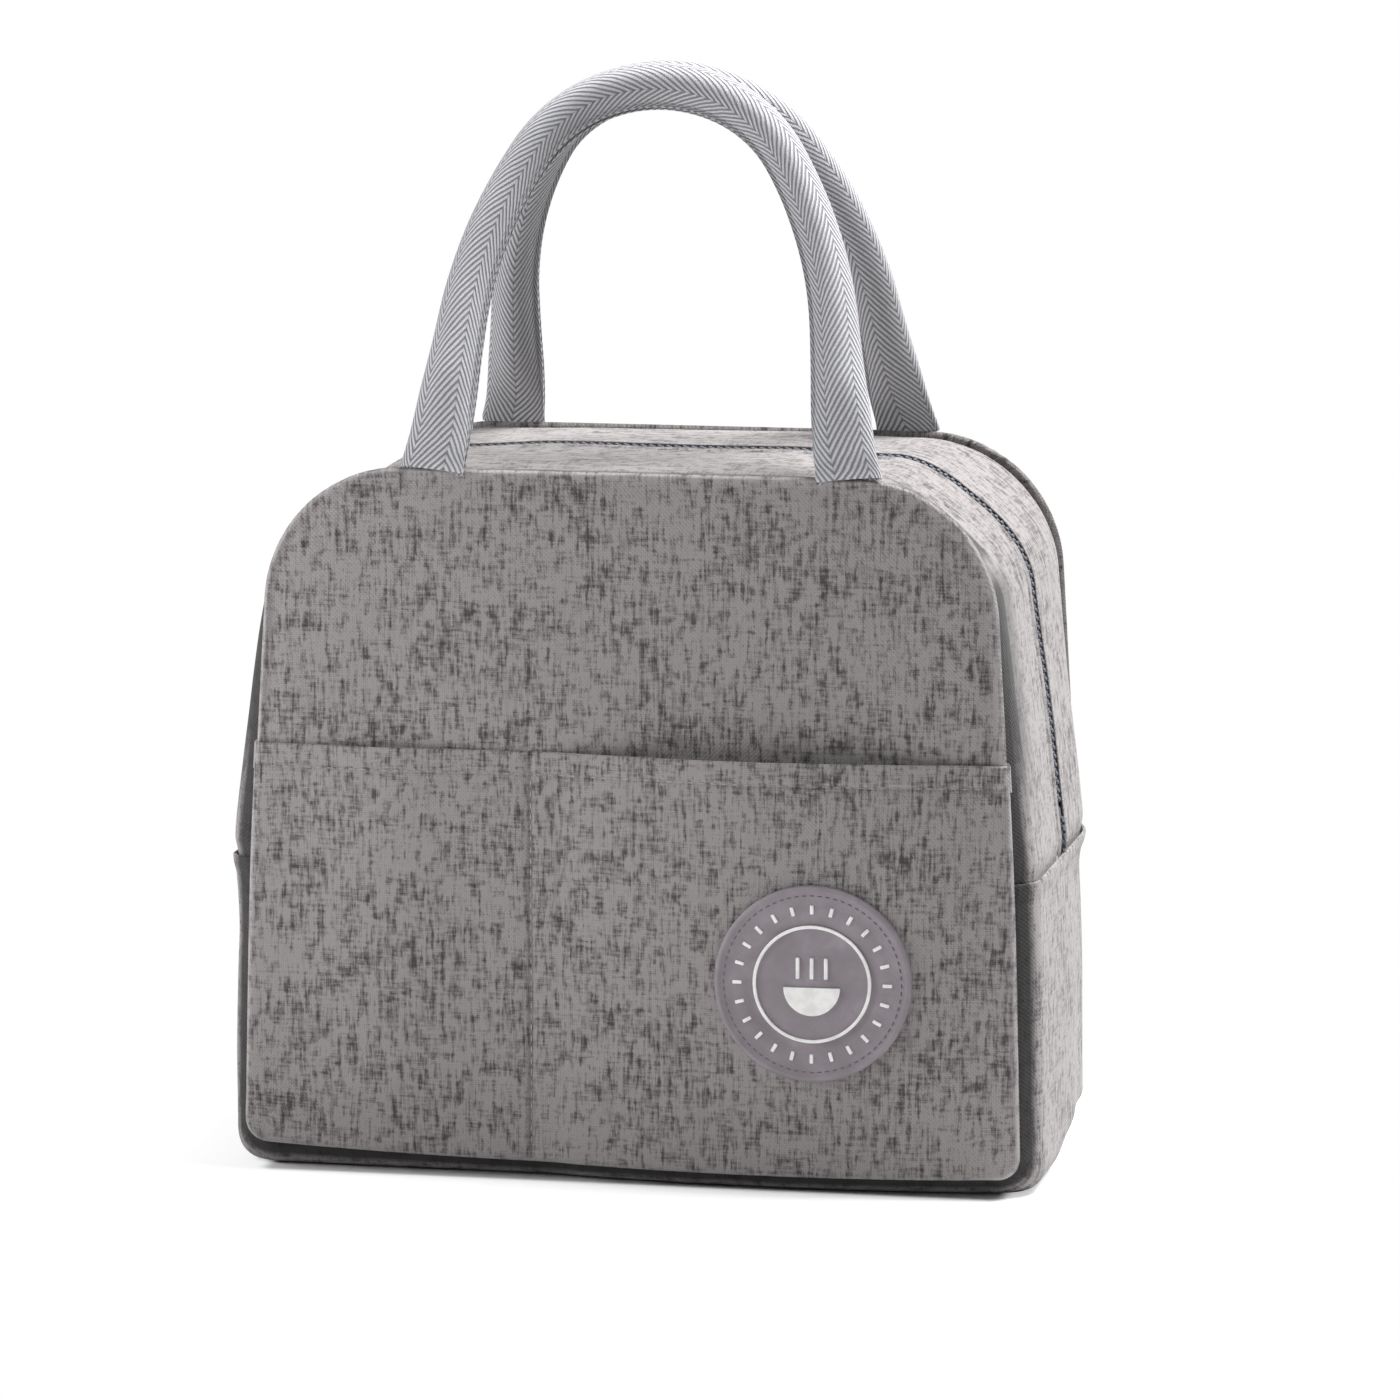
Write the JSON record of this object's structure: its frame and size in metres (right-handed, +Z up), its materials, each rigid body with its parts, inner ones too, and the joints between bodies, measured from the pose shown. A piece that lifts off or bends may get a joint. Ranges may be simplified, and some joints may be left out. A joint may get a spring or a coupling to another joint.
{
  "type": "insulated lunch bag",
  "caption": "Soft insulated lunch bag of grey cloth with an arched zip mouth, a divided front pocket and folded webbing handles.",
  "frame": {"origin": "middle of the flat underside, on the ground", "axes": "+Z up, -Y towards the front with the pocket and badge, +X to the right seen from the front"},
  "size_m": [0.2409, 0.1295, 0.3139],
  "materials": {
    "cloth": "melange woven polyester",
    "webbing": "herringbone webbing",
    "cord_core": "soft cord",
    "foam": "closed-cell foam sheet",
    "foil": "foil-faced film",
    "tape": "woven zip tape",
    "teeth": "moulded",
    "slider": "satin enamel",
    "badge": "matt moulded",
    "badge_print": "matt moulded"
  },
  "bodies": {
    "bag_base": {"bottom_gusset": "cloth", "gusset_foam": "foam", "gusset_liner": "foil", "front_panel_lower": "cloth", "front_foam_lower": "foam", "front_liner_lower": "foil", "rear_panel_lower": "cloth", "rear_foam_lower": "foam", "rear_liner_lower": "foil", "pocket": "cloth", "badge": "badge", "badge_relief": "badge_print", "zip_ends": "teeth"},
    "front_top": {"front_panel": "cloth", "front_foam": "foam", "front_liner": "foil", "front_zip_strip": "cloth", "front_strip_foam": "foam", "front_strip_liner": "foil", "front_zip_tape": "tape", "front_zip_teeth": "teeth", "pocket_mouth": "cloth"},
    "rear_top": {"rear_panel": "cloth", "rear_foam": "foam", "rear_liner": "foil", "rear_zip_strip": "cloth", "rear_strip_foam": "foam", "rear_strip_liner": "foil", "rear_zip_tape": "tape", "rear_zip_teeth": "teeth"},
    "front_handle": {"front_handle_webbing": "webbing", "front_handle_core": "cord_core"},
    "rear_handle": {"rear_handle_webbing": "webbing", "rear_handle_core": "cord_core"},
    "zip_slider": {"zip_slider": "slider"},
    "zip_pull": {"zip_pull": "slider"}
  },
  "joints": [
    {"name": "front_mouth_open", "type": "hinge", "parent": "bag_base", "child": "front_top", "pos_m": [0, -0.0666, 0.09], "axis": [1, 0, 0], "range_deg": [0, 22]},
    {"name": "rear_mouth_open", "type": "hinge", "parent": "bag_base", "child": "rear_top", "pos_m": [0, 0.0592, 0.09], "axis": [-1, 0, 0], "range_deg": [0, 22]},
    {"name": "front_handle_fold", "type": "hinge", "parent": "front_top", "child": "front_handle", "pos_m": [0, -0.0605, 0.2045], "axis": [1, 0, 0], "range_deg": [0, 190]},
    {"name": "rear_handle_fold", "type": "hinge", "parent": "rear_top", "child": "rear_handle", "pos_m": [0, 0.0605, 0.2045], "axis": [-1, 0, 0], "range_deg": [0, 190]},
    {"name": "zip_slide", "type": "slide", "parent": "bag_base", "child": "zip_slider", "axis": [0.1328, 0, 0.9911], "range_m": [0, 0.058]},
    {"name": "zip_pull_swing", "type": "hinge", "parent": "zip_slider", "child": "zip_pull", "pos_m": [-0.11844, 0, 0.09744], "axis": [0, 1, 0], "range_deg": [0, 165]}
  ]
}
